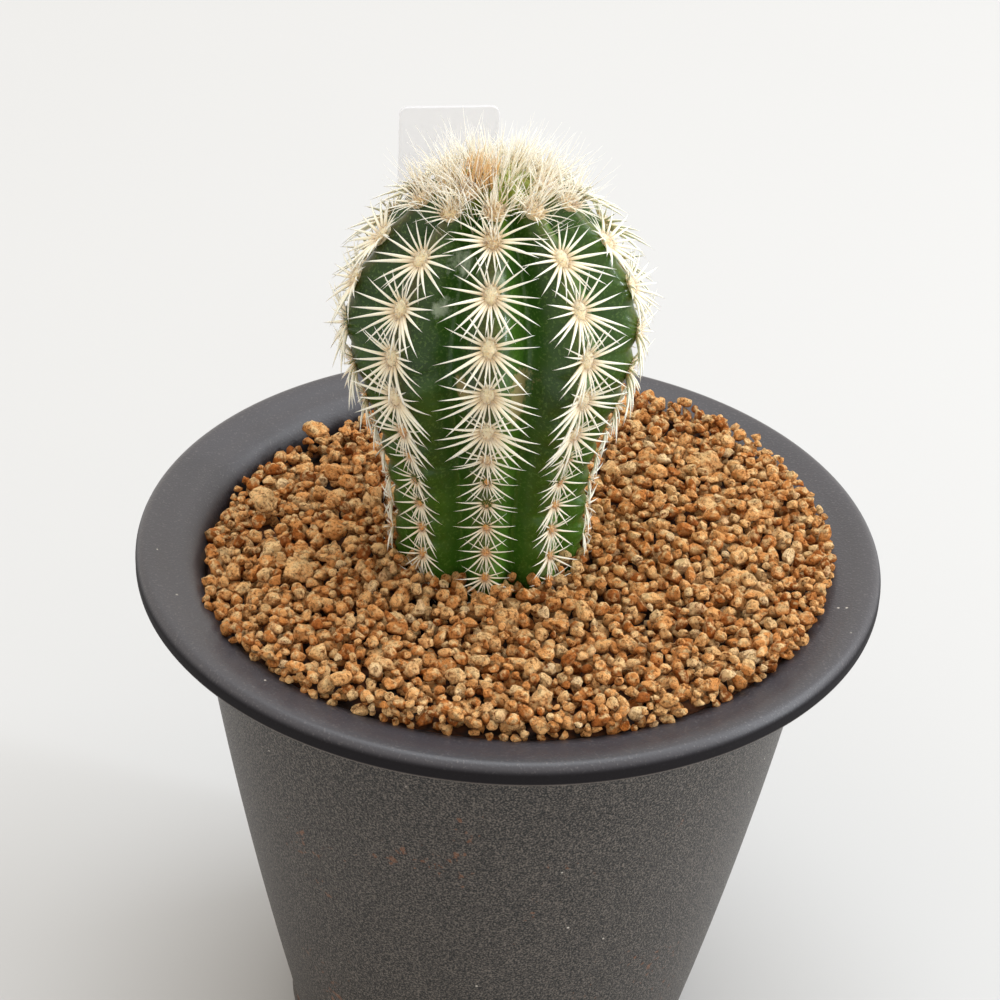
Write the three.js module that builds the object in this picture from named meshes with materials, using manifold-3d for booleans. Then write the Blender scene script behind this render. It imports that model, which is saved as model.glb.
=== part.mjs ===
// A potted short-columnar cactus: a ribbed stem with rows of comb-like spines, standing in a round plastic
// nursery pot that is full of fine grit over coarse drainage stones, with a blank plant label behind the stem.
// Millimetres, +Z up. The origin is at the centre of the pot's foot, on the surface that the pot stands on.

import * as THREE from "three";
import { mergeVertices } from "three/addons/utils/BufferGeometryUtils.js";
import Module from "manifold-3d";

// ---- Driving dimensions ----

// What touches keeps this much air between its faces.
const SEAT_GAP = 0.3;

const POT = {
  height: 72,
  rimRadius: 45,
  rimOverhang: 6.7,
  flangeDish: 0.7,
  flangeThickness: 1.5,
  lipDrop: 2.6,
  lipTaper: 0.4,
  edgeRadius: 1.2,
  throatRadius: 2.3,
  footRadius: 26.2,
  footHeight: 3,
  footWidth: 2.2,
  wall: 1.5,
  bulge: 0.85,
  floorThickness: 1.8,
  segments: 60,
};

const DRAIN = { centreRadius: 3.5, slots: 8, slotWidth: 2.4, slotStart: 8, slotLength: 11 };

const STONES = { depth: 9 };

const GRIT = { belowRim: 1.2, mound: 1.1 };

const STEM = {
  ribs: 9,
  x: -2.5,
  y: -3.2,
  leanDegrees: 1.2,
  height: 50,
  crownRise: 17,
  neckRadius: 11.1,
  neckFlare: 0.03,
  bodyRadius: 16.4,
  waistHeight: 9,
  crownPower: 1.75,
  upperRibDepth: 3.6,
  lowerRibDepth: 2.3,
  buriedNeck: 7,
  rootLength: 30,
  rootTipRadius: 0.9,
  rootTaper: 0.6,
  furrowsFadeWithin: 0.6,
  segmentsPerRib: 6,
};

const SPINES = {
  thickness: 1.1,
  edgeThickness: 0.5,
  lowerHalfWidth: 2.9,
  upperHalfWidth: 4.4,
  reachDegrees: 15,
  rowStart: 2,
  tuftRadius: 7.4,
  tuftHeight: 4.7,
  tuftTeeth: 9,
  toothHeight: 0.35,
  tuftBrim: 0.6,
  tuftGap: 0.42,
  tuftRings: 5,
  rowToTuft: 0.8,
  rowSegments: 16,
};

const LABEL = {
  width: 12,
  length: 80,
  thickness: 0.6,
  cornerRadius: 1,
  pointLength: 13,
  pointWidth: 3,
  besideStem: -7.3,
  behindStem: 8.3,
  topAboveRim: 46.4,
  turnDegrees: 9,
};

const PEBBLES = {
  count: 22,
  radius: 1.55,
  spread: 0.45,
  roughness: 0.28,
  flatness: 0.8,
  clearOfWall: 3,
  clearOfStem: 4,
};

// ---- Solids and their joins and cuts ----

const wasm = await Module();
wasm.setup();

// A closed three.js geometry as a solid that can be joined and cut.
function solidFrom(geometry) {
  const bare = geometry.clone();
  bare.deleteAttribute("normal");
  bare.deleteAttribute("uv");
  const merged = mergeVertices(bare, 1e-4);
  return new wasm.Manifold(
    new wasm.Mesh({
      numProp: 3,
      vertProperties: new Float32Array(merged.attributes.position.array),
      triVerts: new Uint32Array(merged.index.array),
    }),
  );
}

// A solid back as a three.js geometry.
function geometryFrom(solid) {
  const mesh = solid.getMesh();
  const geometry = new THREE.BufferGeometry();
  geometry.setAttribute("position", new THREE.BufferAttribute(mesh.vertProperties, 3));
  geometry.setIndex(new THREE.BufferAttribute(mesh.triVerts, 1));
  geometry.computeVertexNormals();
  return geometry;
}

// A profile of [radius, height] points, from the axis at the bottom round the outside to the axis at the top.
function turned(profile, segments) {
  const points = profile.map(([radius, height]) => new THREE.Vector2(radius, height));
  return new THREE.LatheGeometry(points, segments).rotateX(Math.PI / 2);
}

// Moves every vertex of a geometry to where place(vertex) puts it.
function reshaped(geometry, place) {
  const position = geometry.attributes.position;
  const vertex = new THREE.Vector3();
  for (let i = 0; i < position.count; i++) {
    vertex.fromBufferAttribute(position, i);
    place(vertex);
    position.setXYZ(i, vertex.x, vertex.y, vertex.z);
  }
  geometry.computeVertexNormals();
  return geometry;
}

// Evenly spaced values from first to last, both included.
function steps(first, last, count) {
  return Array.from({ length: count + 1 }, (_, i) => first + ((last - first) * i) / count);
}

// A repeatable value from 0 to 1 for a whole number.
function scatter(seed) {
  const wave = Math.sin(seed * 12.9898) * 43758.5453;
  return wave - Math.floor(wave);
}

// ---- The pot's own curves, which the fill follows ----

const neckRadius = POT.rimRadius - POT.rimOverhang;
const neckHeight = POT.height - POT.lipDrop;
const potFloor = POT.footHeight + POT.floorThickness;
const throatTop = POT.height - POT.flangeDish;
const throatStart = throatTop - POT.throatRadius;

// Outer radius of the pot's body: a straight taper with a slight belly.
function potOutside(z) {
  const t = THREE.MathUtils.clamp((z - POT.footHeight) / (neckHeight - POT.footHeight), 0, 1);
  return THREE.MathUtils.lerp(POT.footRadius, neckRadius, t) + 4 * POT.bulge * t * (1 - t);
}

// Inner radius of the pot, with the throat rounded over into the flange. An inset keeps that far off the wall.
function potInside(z, inset = 0) {
  const wallRadius = potOutside(Math.min(z, neckHeight)) - POT.wall;
  if (z <= throatStart) return wallRadius - inset;
  const rise = Math.min(z - throatStart, POT.throatRadius);
  return wallRadius + POT.throatRadius - Math.sqrt((POT.throatRadius + inset) ** 2 - rise ** 2);
}

// ---- Pot ----

function potGeometry() {
  const { height, rimRadius, flangeThickness, edgeRadius, lipDrop, lipTaper, footRadius } = POT;
  const footInside = footRadius - POT.footWidth;
  const crest = rimRadius - edgeRadius;
  const edge = steps(0, Math.PI / 2, 4).map((a) => [
    crest + edgeRadius * Math.cos(a),
    height - edgeRadius + edgeRadius * Math.sin(a),
  ]);
  const throat = steps(throatTop, throatStart, 5).map((z) => [potInside(z), z]);
  const profile = [
    [0, POT.footHeight],
    [footInside, POT.footHeight],
    [footInside, 0],
    [footRadius, 0],
    [footRadius, POT.footHeight],
    ...steps(POT.footHeight, neckHeight, 7).slice(1).map((z) => [potOutside(z), z]),
    [neckRadius + lipTaper, height - flangeThickness - POT.flangeDish],
    [crest - lipTaper, height - flangeThickness],
    [crest, height - lipDrop],
    [rimRadius - lipTaper, height - lipDrop],
    ...edge,
    ...throat,
    ...steps(throatStart, potFloor, 6).slice(1).map((z) => [potInside(z), z]),
    [0, potFloor],
  ];
  return turned(profile, POT.segments);
}

// The round hole in the middle of the floor and the radial slots round it.
function drainCutters() {
  const depth = POT.floorThickness * 3;
  const middle = POT.footHeight + POT.floorThickness / 2;
  const centre = new THREE.CylinderGeometry(DRAIN.centreRadius, DRAIN.centreRadius, depth, 20);
  let cutter = solidFrom(centre.rotateX(Math.PI / 2).translate(0, 0, middle));
  for (let i = 0; i < DRAIN.slots; i++) {
    const slot = new THREE.BoxGeometry(DRAIN.slotLength, DRAIN.slotWidth, depth);
    slot.translate(DRAIN.slotStart + DRAIN.slotLength / 2, 0, middle);
    slot.rotateZ((2 * Math.PI * i) / DRAIN.slots);
    cutter = cutter.add(solidFrom(slot));
  }
  return cutter;
}

// ---- Cactus stem, in its own frame: origin on its axis at the level of the pot's rim ----

const shoulderHeight = STEM.height - STEM.crownRise;

// How far a height lies from the waist to the shoulder, from 0 to 1.
function swellAt(z) {
  return THREE.MathUtils.smoothstep(z, STEM.waistHeight, shoulderHeight);
}

// Radius over the rib crests at a height.
function crestRadius(z) {
  const { crownRise, bodyRadius, crownPower } = STEM;
  if (z >= shoulderHeight) {
    const rise = Math.min((z - shoulderHeight) / crownRise, 1);
    return bodyRadius * (1 - rise ** crownPower) ** (1 / crownPower);
  }
  if (z < -STEM.buriedNeck) {
    const down = (-STEM.buriedNeck - z) / (STEM.rootLength - STEM.buriedNeck);
    const taper = Math.min(down, 1) ** STEM.rootTaper;
    return THREE.MathUtils.lerp(STEM.neckRadius, STEM.rootTipRadius, taper);
  }
  const swell = swellAt(z);
  const neck = STEM.neckRadius + STEM.neckFlare * Math.max(z, 0) * (1 - swell);
  return THREE.MathUtils.lerp(neck, bodyRadius, swell);
}

// Depth of the furrows between the ribs at a height: none on the root, and fading to the growing point.
function ribDepth(z) {
  const depth = THREE.MathUtils.lerp(STEM.lowerRibDepth, STEM.upperRibDepth, swellAt(z));
  const buried = THREE.MathUtils.smoothstep(z, -STEM.buriedNeck, 0);
  const crown = Math.min(1, crestRadius(z) / STEM.bodyRadius / STEM.furrowsFadeWithin);
  return depth * (z < STEM.waistHeight ? buried : 1) * (z > shoulderHeight ? crown : 1);
}

// The stem's body, its buried neck and its tap root, grown outwards by a clearance where it cuts its socket.
function stemGeometry(clearance) {
  const { height, rootLength, ribs } = STEM;
  const crown = steps(0, Math.PI / 2, 9).map((a) => shoulderHeight + STEM.crownRise * Math.sin(a));
  const heights = [
    -rootLength - clearance,
    ...steps(-rootLength, -STEM.buriedNeck, 5).slice(1),
    ...steps(-STEM.buriedNeck, shoulderHeight, 14).slice(1),
    ...crown.slice(1, -1),
  ];
  const profile = [
    [0, -rootLength - clearance],
    ...heights.map((z) => [crestRadius(z) + clearance, z]),
    [0, height + clearance],
  ];
  return reshaped(turned(profile, ribs * STEM.segmentsPerRib), (vertex) => {
    const radius = Math.hypot(vertex.x, vertex.y);
    if (radius < 1e-6) return;
    const furrow = 1 - Math.abs(Math.cos((ribs * Math.atan2(vertex.y, vertex.x)) / 2));
    const scale = (radius - ribDepth(vertex.z) * furrow) / radius;
    vertex.set(vertex.x * scale, vertex.y * scale, vertex.z);
  });
}

// Where the stem's frame stands in the pot. The first rib is turned to the front, -Y.
const stemPlace = new THREE.Matrix4()
  .makeTranslation(STEM.x, STEM.y, POT.height)
  .multiply(new THREE.Matrix4().makeRotationY(-THREE.MathUtils.degToRad(STEM.leanDegrees)))
  .multiply(new THREE.Matrix4().makeRotationZ(-Math.PI / 2));

// ---- Spines ----

// Height on the crown where the crests have come in to a radius.
function crownHeight(radius) {
  const { crownRise, bodyRadius, crownPower } = STEM;
  const inward = 1 - (radius / bodyRadius) ** crownPower;
  return shoulderHeight + crownRise * inward ** (1 / crownPower);
}

// One row: a band of interlaced spines that lies along a rib's crest, thin at its two edges.
function spineRowGeometry() {
  const rowEnd = crownHeight(SPINES.tuftRadius + SPINES.rowToTuft);
  const reach = Math.tan(THREE.MathUtils.degToRad(SPINES.reachDegrees));
  const band = new THREE.BoxGeometry(2, 1, 1, 4, 1, SPINES.rowSegments);
  return reshaped(band, (vertex) => {
    const across = vertex.x;
    const outward = 0.5 - vertex.y;
    const along = THREE.MathUtils.lerp(SPINES.rowStart, rowEnd, 0.5 + vertex.z);
    const radius = crestRadius(along);
    const step = 0.05;
    const slope = (crestRadius(along + step) - crestRadius(along - step)) / (2 * step);
    const tilt = Math.atan(-slope);
    const halfWidth = Math.min(
      THREE.MathUtils.lerp(SPINES.lowerHalfWidth, SPINES.upperHalfWidth, swellAt(along)),
      (radius + SEAT_GAP) * reach,
    );
    const thickness = THREE.MathUtils.lerp(SPINES.thickness, SPINES.edgeThickness, across ** 2);
    const rise = SEAT_GAP + outward * thickness;
    vertex.set(radius + rise * Math.cos(tilt), across * halfWidth, along + rise * Math.sin(tilt));
  });
}

// The tuft of wool and young spines that caps the growing point, with low teeth round its dome.
function crownTuftGeometry() {
  const { tuftRadius, tuftTeeth, tuftRings, tuftBrim, tuftGap, toothHeight } = SPINES;
  const underside = steps(0, tuftRadius, tuftRings).map((r) => [r, crownHeight(r) + tuftGap]);
  const brim = underside[tuftRings][1] + tuftBrim;
  const rise = STEM.height + SPINES.tuftHeight - brim;
  const dome = steps(0, Math.PI / 2, tuftRings).map((a) => [tuftRadius * Math.cos(a), brim + rise * Math.sin(a)]);
  dome[tuftRings][0] = 0;
  return reshaped(turned([...underside, ...dome], tuftTeeth * 2), (vertex) => {
    const radius = Math.hypot(vertex.x, vertex.y);
    const aboveUnderside = vertex.z - crownHeight(Math.min(radius, tuftRadius)) - tuftGap;
    if (radius < 1e-6 || aboveUnderside < tuftBrim / 2) return;
    const tooth = Math.cos(tuftTeeth * Math.atan2(vertex.y, vertex.x));
    vertex.z += toothHeight * tooth * Math.min(1, aboveUnderside);
  });
}

// ---- Plant label: a flat stake with rounded top corners and a pointed foot ----

function labelGeometry(clearance) {
  const half = LABEL.width / 2 + clearance;
  const point = LABEL.pointWidth / 2 + clearance;
  const corner = LABEL.cornerRadius;
  const top = clearance;
  const bottom = -LABEL.length - clearance;
  const outline = new THREE.Shape();
  outline.moveTo(-point, bottom);
  outline.lineTo(point, bottom);
  outline.lineTo(half, bottom + LABEL.pointLength);
  outline.lineTo(half, top - corner);
  outline.absarc(half - corner, top - corner, corner, 0, Math.PI / 2, false);
  outline.absarc(-half + corner, top - corner, corner, Math.PI / 2, Math.PI, false);
  outline.lineTo(-half, bottom + LABEL.pointLength);
  const depth = LABEL.thickness + 2 * clearance;
  const plate = new THREE.ExtrudeGeometry(outline, { depth, bevelEnabled: false, curveSegments: 5 });
  return plate.translate(0, 0, -depth / 2).rotateX(Math.PI / 2);
}

const labelX = STEM.x + LABEL.besideStem;
const labelY = STEM.y + STEM.bodyRadius + LABEL.behindStem;

const labelPlace = new THREE.Matrix4()
  .makeTranslation(labelX, labelY, POT.height + LABEL.topAboveRim)
  .multiply(new THREE.Matrix4().makeRotationZ(THREE.MathUtils.degToRad(LABEL.turnDegrees)));

// ---- The fill: coarse stones under fine grit, both following the pot's wall ----

const stonesTop = potFloor + SEAT_GAP + STONES.depth;
const gritEdge = POT.height - GRIT.belowRim;

// Height of the grit's surface at a distance from the pot's axis.
function gritSurface(radius) {
  const edgeRadius = potInside(gritEdge, SEAT_GAP);
  return gritEdge + GRIT.mound * (1 - Math.min(radius / edgeRadius, 1) ** 2);
}

function stonesGeometry() {
  const bottom = potFloor + SEAT_GAP;
  const wall = steps(bottom, stonesTop, 2).map((z) => [potInside(z, SEAT_GAP), z]);
  return turned([[0, bottom], ...wall, [0, stonesTop]], POT.segments);
}

function gritGeometry() {
  const bottom = stonesTop + SEAT_GAP;
  const wall = steps(bottom, throatStart, 5).map((z) => [potInside(z, SEAT_GAP), z]);
  const throat = steps(throatStart, gritEdge, 3).slice(1).map((z) => [potInside(z, SEAT_GAP), z]);
  const edgeRadius = potInside(gritEdge, SEAT_GAP);
  const surface = steps(edgeRadius, 0, 6).slice(1).map((r) => [r, gritSurface(r)]);
  return turned([[0, bottom], ...wall, ...throat, ...surface], POT.segments);
}

// The grit with a socket for the stem and a slit for the label.
function plantedGritGeometry() {
  const stemSocket = solidFrom(stemGeometry(SEAT_GAP).applyMatrix4(stemPlace));
  const labelSlit = solidFrom(labelGeometry(SEAT_GAP).applyMatrix4(labelPlace));
  return geometryFrom(solidFrom(gritGeometry()).subtract(stemSocket).subtract(labelSlit));
}

// ---- Larger granules that lie loose on the grit ----

// An angular granule with its lowest point at the origin's height.
function pebbleGeometry(seed) {
  const size = PEBBLES.radius * (1 + PEBBLES.spread * (scatter(seed) - 0.5));
  const pebble = reshaped(new THREE.IcosahedronGeometry(size, 1), (vertex) => {
    const face = Math.round(vertex.x * 7) + 3 * Math.round(vertex.y * 7) + 5 * Math.round(vertex.z * 7);
    vertex.multiplyScalar(1 + PEBBLES.roughness * (scatter(face + 31 * seed) - 0.5));
    vertex.z *= PEBBLES.flatness;
  });
  pebble.rotateZ(2 * Math.PI * scatter(seed + 50));
  pebble.computeBoundingBox();
  return pebble.translate(0, 0, -pebble.boundingBox.min.z);
}

// Places on a sunflower spiral between the stem and the pot's wall, except where the label stands.
function pebblePlaces() {
  const inner = STEM.neckRadius + Math.hypot(STEM.x, STEM.y) + PEBBLES.clearOfStem;
  const outer = potInside(gritEdge, SEAT_GAP) - PEBBLES.clearOfWall;
  const goldenAngle = Math.PI * (3 - Math.sqrt(5));
  const places = [];
  for (let i = 0; i < PEBBLES.count; i++) {
    const radius = Math.sqrt(THREE.MathUtils.lerp(inner ** 2, outer ** 2, (i + 0.5) / PEBBLES.count));
    const angle = i * goldenAngle - Math.PI / 2;
    const place = new THREE.Vector3(radius * Math.cos(angle), radius * Math.sin(angle), 0);
    const fromLabel = Math.hypot(place.x - labelX, place.y - labelY);
    if (fromLabel > LABEL.width / 2 + 2 * PEBBLES.radius) places.push(place);
  }
  return places;
}

// The grit's height under a pebble's whole width, so that it clears the mound on its uphill side.
function pebbleSeat(place) {
  const uphill = Math.max(Math.hypot(place.x, place.y) - PEBBLES.radius, 0);
  return gritSurface(uphill) + SEAT_GAP;
}

// ---- Assembly ----

function finish(color, roughness) {
  return new THREE.MeshStandardMaterial({ color, roughness, metalness: 0 });
}

const finishes = {
  pot: finish(0x3a3a3d, 0.62),
  stones: finish(0xb9b1a2, 0.95),
  grit: finish(0xa9733c, 0.95),
  pebble: finish(0xd0aa72, 0.95),
  stem: finish(0x1f5a24, 0.35),
  spines: finish(0xf2e6cf, 0.6),
  label: finish(0xe6e6ea, 0.45),
};

const plant = new THREE.Group();

function part(name, geometry, material) {
  const mesh = new THREE.Mesh(geometry, material);
  mesh.name = name;
  plant.add(mesh);
  return mesh;
}

function placedBy(mesh, matrix) {
  matrix.decompose(mesh.position, mesh.quaternion, mesh.scale);
  return mesh;
}

part("pot", geometryFrom(solidFrom(potGeometry()).subtract(drainCutters())), finishes.pot);
part("drainage_stones", stonesGeometry(), finishes.stones);
part("grit_bed", plantedGritGeometry(), finishes.grit);
placedBy(part("cactus_stem", stemGeometry(0), finishes.stem), stemPlace);
placedBy(part("crown_spine_tuft", crownTuftGeometry(), finishes.spines), stemPlace);
placedBy(part("plant_label", labelGeometry(0), finishes.label), labelPlace);

for (let rib = 0; rib < STEM.ribs; rib++) {
  const turn = new THREE.Matrix4().makeRotationZ((2 * Math.PI * rib) / STEM.ribs);
  const row = part(`spine_row_${rib + 1}`, spineRowGeometry(), finishes.spines);
  placedBy(row, stemPlace.clone().multiply(turn));
}

pebblePlaces().forEach((place, i) => {
  const pebble = part(`surface_granule_${i + 1}`, pebbleGeometry(i + 1), finishes.pebble);
  pebble.position.set(place.x, place.y, pebbleSeat(place));
});

export default plant;
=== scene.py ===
"""A potted short-columnar cactus with a blank plant label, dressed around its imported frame.

Lengths are in millimetres until a piece is finished, and heights on the stem are measured from the pot's rim.
"""
import math
import random

import bmesh
import bpy
import numpy as np
from mathutils import Matrix, Vector, noise


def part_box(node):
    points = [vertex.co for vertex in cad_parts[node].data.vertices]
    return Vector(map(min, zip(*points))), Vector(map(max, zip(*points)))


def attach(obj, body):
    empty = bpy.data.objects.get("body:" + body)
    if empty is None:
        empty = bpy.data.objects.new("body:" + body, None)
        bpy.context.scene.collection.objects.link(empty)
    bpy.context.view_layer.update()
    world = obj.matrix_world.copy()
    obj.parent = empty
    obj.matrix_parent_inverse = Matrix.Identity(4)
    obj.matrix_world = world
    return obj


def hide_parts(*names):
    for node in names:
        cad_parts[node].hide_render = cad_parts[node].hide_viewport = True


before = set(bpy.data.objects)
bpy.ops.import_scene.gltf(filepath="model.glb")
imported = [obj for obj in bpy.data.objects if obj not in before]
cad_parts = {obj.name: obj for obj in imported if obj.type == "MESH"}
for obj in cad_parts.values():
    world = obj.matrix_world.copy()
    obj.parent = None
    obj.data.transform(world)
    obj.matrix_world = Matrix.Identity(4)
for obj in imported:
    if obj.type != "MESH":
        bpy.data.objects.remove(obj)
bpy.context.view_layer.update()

MM = 0.001
BODY = "root"


def node_box(node):
    """Lowest and highest corner of a node, in millimetres."""
    low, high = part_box(node)
    return low / MM, high / MM


# ---- Sizes, in millimetres and degrees ----

POT_TOP = node_box("pot")[1]
RIM_RADIUS = POT_TOP.x
RIM_HEIGHT = POT_TOP.z
RIM_OVERHANG = 6.7
NECK_RADIUS = RIM_RADIUS - RIM_OVERHANG
LIP_DROP = 2.6
NECK_HEIGHT = RIM_HEIGHT - LIP_DROP
FLANGE_DISH = 0.7
FLANGE_THICKNESS = 1.5
THROAT_RADIUS = 4.0
THROAT_TOP = RIM_HEIGHT - FLANGE_DISH
FOOT_RADIUS = 26.2
FOOT_HEIGHT = 3.0
FOOT_WIDTH = 2.2
POT_WALL = 1.5
POT_BULGE = 0.85
POT_SIDES = 240
FLOOR_THICKNESS = 1.8
DRAIN_RADIUS = 3.5
DRAIN_SLOTS = 8
DRAIN_SLOT = (11.0, 2.4)
DRAIN_SLOT_START = 8.0

GRIT_EDGE = 1.2
GRIT_MOUND = 1.1
GRIT_SINK = 4.2
GRIT_RADIUS = 39.4
GRIT_SINK_TOWARDS = math.radians(150)
GRIT_SPREAD = 40.0
GRIT_BORDER = 2.5
GRIT_BORDER_SHARE = 0.13
GRIT_PILE = 3.0
GRIT_COUNT = 4700
GRIT_SIZES = (0.48, 1.12)
GRIT_TRIES = 8
GRIT_GROUPS = 3
GRANULE_SHAPES = 12
BED_SIDES = 96

RIBS = 9
RIB_SIDES = 26
STEM_LEAN = math.radians(1.2)
STEM_X = -2.5
STEM_Y = -3.2
STEM_HEIGHT = 50.0
CROWN_RISE = 17.0
SHOULDER = STEM_HEIGHT - CROWN_RISE
WAIST = 9.0
STEM_NECK = 11.1
STEM_FLARE = 0.03
STEM_BODY = 16.4
CROWN_POWER = 1.75
UPPER_RIB_DEPTH = 3.6
LOWER_RIB_DEPTH = 2.3
BURIED_NECK = 7.0
ROOT_LENGTH = 30.0
ROOT_TIP = 0.9
ROOT_TAPER = 0.6

BLOOM_MARKS = ((-0.55, 43.0, 3.8), (-0.62, 38.8, 2.8), (0.1, 43.0, 2.2))
CORK_MARKS = ((-0.32, 30.4, 3.6), (0.36, 30.8, 4.2), (0.36, 27.2, 3.4), (1.5, 25.0, 3.0))
TUBERCLE = 0.6
AREOLE_STARTS = (0.1, 1.8, 1.0, 2.9, 0.6, 1.9, 3.1, 0.9, 1.5)
LOWER_SPACING = 3.64
UPPER_SPACING = 5.35
CROWN_SPACING = 2.7

# Each thickness goes with a bend. The first four are for the body, and the last two for the crown.
SPINE_SHAPES = ((0.042, 0.18), (0.038, 0.24), (0.04, 0.13), (0.035, 0.3), (0.024, 0.14), (0.02, 0.24))
BODY_SHAPES = 4
FELT_HAIR_SHAPES = ((0.07, 0.1), (0.07, 0.3))
CROWN_HAIR_SHAPE = (0.009, 0.25)

# For the old base of the stem, for its body and for its crown.
SPINE_COUNTS = (15, 22, 20)
SPINE_REACH = (3.9, 6.1, 3.9)
SPINE_LIFT = (24, 26, 52)

CROWN_SPINES = 9
TUFT_RADIUS = 7.4
TUFT_SPINES = 430
TUFT_HAIRS = 240
TUFT_HAIR_RADIUS = 9.5
GROWING_POINT = (2.2, -1.9)
GROWING_RADIUS = 2.3
GROWING_SPINES = 90


# ---- Node materials ----


class Value:
    """An output socket. Arithmetic on it adds Math nodes, so shader maths reads as an expression."""

    def __init__(self, finish, socket):
        self.finish = finish
        self.socket = socket

    def _math(self, operation, first, second):
        return self.finish.add("ShaderNodeMath", {"operation": operation}, {0: first, 1: second})

    def __add__(self, other):
        return self._math("ADD", self, other)

    __radd__ = __add__

    def __mul__(self, other):
        return self._math("MULTIPLY", self, other)

    __rmul__ = __mul__

    def __sub__(self, other):
        return self._math("SUBTRACT", self, other)

    def __rsub__(self, other):
        return self._math("SUBTRACT", other, self)


class Finish:
    """A node material that is being put together."""

    def __init__(self, name):
        self.material = bpy.data.materials.new(name)
        self.material.use_nodes = True
        self.tree = self.material.node_tree
        self.tree.nodes.clear()

    def add(self, kind, settings=None, inputs=None, output=0):
        """Adds a node: its settings first, then the values or links of its sockets."""
        node = self.tree.nodes.new(kind)
        for name, setting in (settings or {}).items():
            if name == "stops":
                set_stops(node.color_ramp, setting)
            else:
                setattr(node, name, setting)
        for name, value in (inputs or {}).items():
            if isinstance(value, Value):
                self.tree.links.new(value.socket, node.inputs[name])
            else:
                node.inputs[name].default_value = value
        return Value(self, node.outputs[output]) if node.outputs else None

    def place(self):
        """Where on the object a point lies."""
        return self.add("ShaderNodeTexCoord", output=3)

    def noise(self, scale, detail=3.0, roughness=0.55):
        """Noise from 0 to 1, with its scale in waves to a millimetre."""
        sockets = {"Vector": self.place(), "Scale": scale / MM, "Detail": detail, "Roughness": roughness}
        return self.add("ShaderNodeTexNoise", {}, sockets)

    def cells(self, scale):
        """Distance to the nearest cell's centre, with the scale in cells to a millimetre."""
        sockets = {"Vector": self.place(), "Scale": scale / MM}
        return self.add("ShaderNodeTexVoronoi", {"feature": "F1"}, sockets)

    def ramp(self, value, stops):
        return self.add("ShaderNodeValToRGB", {"stops": stops}, {"Fac": value})

    def mask(self, value, low, high):
        """0 below low and 1 above high, smooth between them."""
        settings = {"interpolation_type": "SMOOTHSTEP"}
        return self.add("ShaderNodeMapRange", settings, {"Value": value, "From Min": low, "From Max": high})

    def mix(self, amount, first, second):
        """Two colours mixed by an amount."""
        return self.add("ShaderNodeMix", {"data_type": "RGBA"}, {0: amount, 6: first, 7: second}, output=2)

    def least(self, first, second):
        return self.add("ShaderNodeMath", {"operation": "MINIMUM"}, {0: first, 1: second})

    def attribute(self, name):
        return self.add("ShaderNodeAttribute", {"attribute_name": name}, output=2)

    def bump(self, height, distance, strength=1.0):
        """Relief of that many millimetres."""
        sockets = {"Height": height, "Distance": distance * MM, "Strength": strength}
        return self.add("ShaderNodeBump", {}, sockets)

    def shader(self, **sockets):
        """A Principled shader. A name's underscores stand for spaces."""
        named = {name.replace("_", " "): value for name, value in sockets.items()}
        return self.add("ShaderNodeBsdfPrincipled", {}, named)

    def ends_in(self, shader):
        """The finished material, with this shader on its surface."""
        self.add("ShaderNodeOutputMaterial", {}, {"Surface": shader})
        return self.material


def set_stops(ramp, stops):
    """Sets a colour ramp's stops from (position, colour) pairs."""
    while len(ramp.elements) > 1:
        ramp.elements.remove(ramp.elements[-1])
    ramp.elements[0].position, ramp.elements[0].color = stops[0]
    for position, color in stops[1:]:
        ramp.elements.new(position).color = color


def rgb(red, green, blue):
    """A linear colour from one written as screen values from 0 to 255."""
    return (*(screen_to_linear(channel / 255) for channel in (red, green, blue)), 1.0)


def screen_to_linear(value):
    """A screen value from 0 to 1 as the amount of light it stands for."""
    return value / 12.92 if value <= 0.04045 else ((value + 0.055) / 1.055) ** 2.4


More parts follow.
